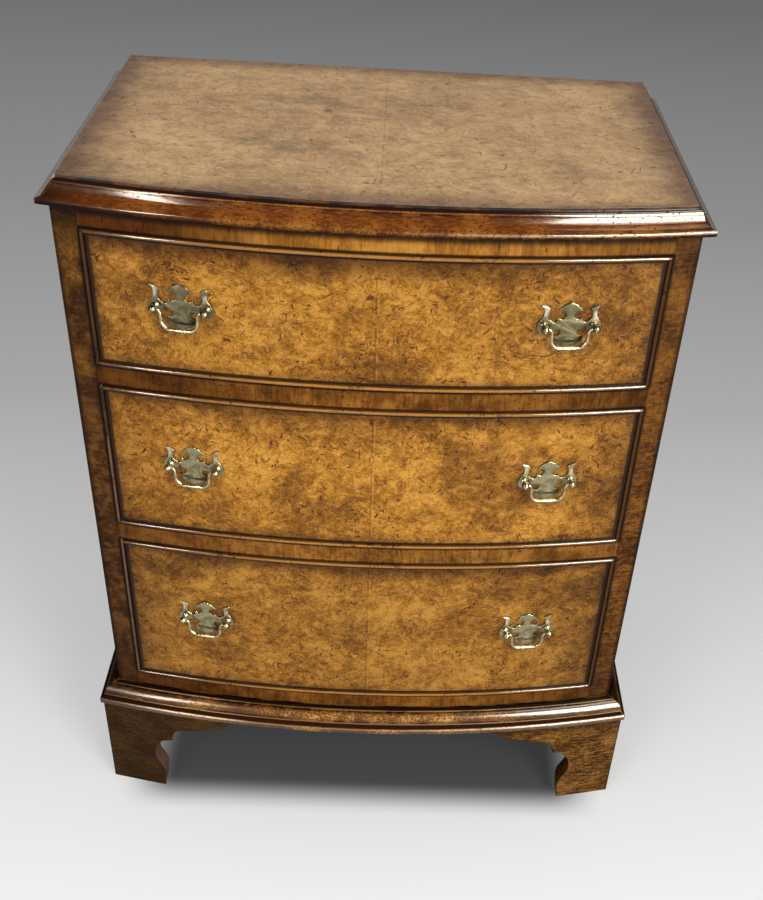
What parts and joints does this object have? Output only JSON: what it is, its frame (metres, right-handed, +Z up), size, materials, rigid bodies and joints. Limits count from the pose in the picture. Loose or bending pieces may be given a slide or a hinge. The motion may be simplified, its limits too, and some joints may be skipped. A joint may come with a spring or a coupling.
{
  "type": "bow-fronted chest of drawers",
  "caption": "Small bow-fronted chest of graduated drawers in burr walnut veneer, with cock beading, moulded top and base, bracket feet and pierced swan-neck handles.",
  "frame": {"origin": "on the floor, in the middle of the footprint", "axes": "+Z up, -Y towards the bowed front that the drawers open to, +X to the right of a person who faces the front"},
  "size_m": [0.61, 0.3936, 0.75],
  "materials": {
    "burr": "polished burr walnut veneer, antiqued",
    "veneer": "polished straight-grained walnut veneer",
    "cross": "polished cross-grained walnut",
    "moulding": "dark red-brown polish, high gloss",
    "foot": "dark polish, worn at the edges",
    "lining": "bare, unpolished timber",
    "brass": "aged, dull in the recesses"
  },
  "bodies": {
    "carcase": {"top_veneer": "burr", "side_panel_left": "veneer", "side_panel_right": "veneer", "bottom_rail": "cross", "drawer_rail_lower": "cross", "drawer_rail_upper": "cross", "frieze_rail": "cross", "stile_left": "cross", "stile_right": "cross", "top_moulding_front": "moulding", "top_moulding_left": "moulding", "top_moulding_right": "moulding", "base_moulding_front": "moulding", "base_moulding_left": "moulding", "base_moulding_right": "moulding", "front_foot_left": "foot", "front_foot_left_return": "foot", "front_foot_right": "foot", "front_foot_right_return": "foot", "rear_foot_left": "foot", "rear_foot_right": "foot", "back_panel": "lining", "bottom_board": "lining", "top_board": "lining", "kicker_left": "lining", "kicker_right": "lining", "runner_lower_left": "lining", "runner_lower_right": "lining", "runner_upper_left": "lining", "runner_upper_right": "lining"},
    "bottom_drawer": {"bottom_drawer_front": "burr", "bottom_drawer_cock_bead": "moulding", "bottom_drawer_side_left": "lining", "bottom_drawer_side_right": "lining", "bottom_drawer_back": "lining", "bottom_drawer_bottom": "lining", "bottom_drawer_handle_left_plate": "brass", "bottom_drawer_handle_right_plate": "brass"},
    "middle_drawer": {"middle_drawer_front": "burr", "middle_drawer_cock_bead": "moulding", "middle_drawer_side_left": "lining", "middle_drawer_side_right": "lining", "middle_drawer_back": "lining", "middle_drawer_bottom": "lining", "middle_drawer_handle_left_plate": "brass", "middle_drawer_handle_right_plate": "brass"},
    "top_drawer": {"top_drawer_front": "burr", "top_drawer_cock_bead": "moulding", "top_drawer_side_left": "lining", "top_drawer_side_right": "lining", "top_drawer_back": "lining", "top_drawer_bottom": "lining", "top_drawer_handle_left_plate": "brass", "top_drawer_handle_right_plate": "brass"},
    "bottom_drawer_left_bail": {"bottom_drawer_handle_left_bail": "brass"},
    "bottom_drawer_right_bail": {"bottom_drawer_handle_right_bail": "brass"},
    "middle_drawer_left_bail": {"middle_drawer_handle_left_bail": "brass"},
    "middle_drawer_right_bail": {"middle_drawer_handle_right_bail": "brass"},
    "top_drawer_left_bail": {"top_drawer_handle_left_bail": "brass"},
    "top_drawer_right_bail": {"top_drawer_handle_right_bail": "brass"}
  },
  "joints": [
    {"name": "bottom_drawer_slide", "type": "slide", "parent": "carcase", "child": "bottom_drawer", "axis": [0, -1, 0], "range_m": [0, 0.25]},
    {"name": "middle_drawer_slide", "type": "slide", "parent": "carcase", "child": "middle_drawer", "axis": [0, -1, 0], "range_m": [0, 0.25]},
    {"name": "top_drawer_slide", "type": "slide", "parent": "carcase", "child": "top_drawer", "axis": [0, -1, 0], "range_m": [0, 0.25]},
    {"name": "bottom_drawer_left_bail_swing", "type": "hinge", "parent": "bottom_drawer", "child": "bottom_drawer_left_bail", "pos_m": [-0.17514, -0.17311, 0.2695], "axis": [-0.9915, 0.1301, 0], "range_deg": [-12, 150]},
    {"name": "bottom_drawer_right_bail_swing", "type": "hinge", "parent": "bottom_drawer", "child": "bottom_drawer_right_bail", "pos_m": [0.17514, -0.17311, 0.2695], "axis": [-0.9915, -0.1301, 0], "range_deg": [-12, 150]},
    {"name": "middle_drawer_left_bail_swing", "type": "hinge", "parent": "middle_drawer", "child": "middle_drawer_left_bail", "pos_m": [-0.17514, -0.17311, 0.4701], "axis": [-0.9915, 0.1301, 0], "range_deg": [-12, 150]},
    {"name": "middle_drawer_right_bail_swing", "type": "hinge", "parent": "middle_drawer", "child": "middle_drawer_right_bail", "pos_m": [0.17514, -0.17311, 0.4701], "axis": [-0.9915, -0.1301, 0], "range_deg": [-12, 150]},
    {"name": "top_drawer_left_bail_swing", "type": "hinge", "parent": "top_drawer", "child": "top_drawer_left_bail", "pos_m": [-0.17514, -0.17311, 0.6422], "axis": [-0.9915, 0.1301, 0], "range_deg": [-12, 150]},
    {"name": "top_drawer_right_bail_swing", "type": "hinge", "parent": "top_drawer", "child": "top_drawer_right_bail", "pos_m": [0.17514, -0.17311, 0.6422], "axis": [-0.9915, -0.1301, 0], "range_deg": [-12, 150]}
  ]
}
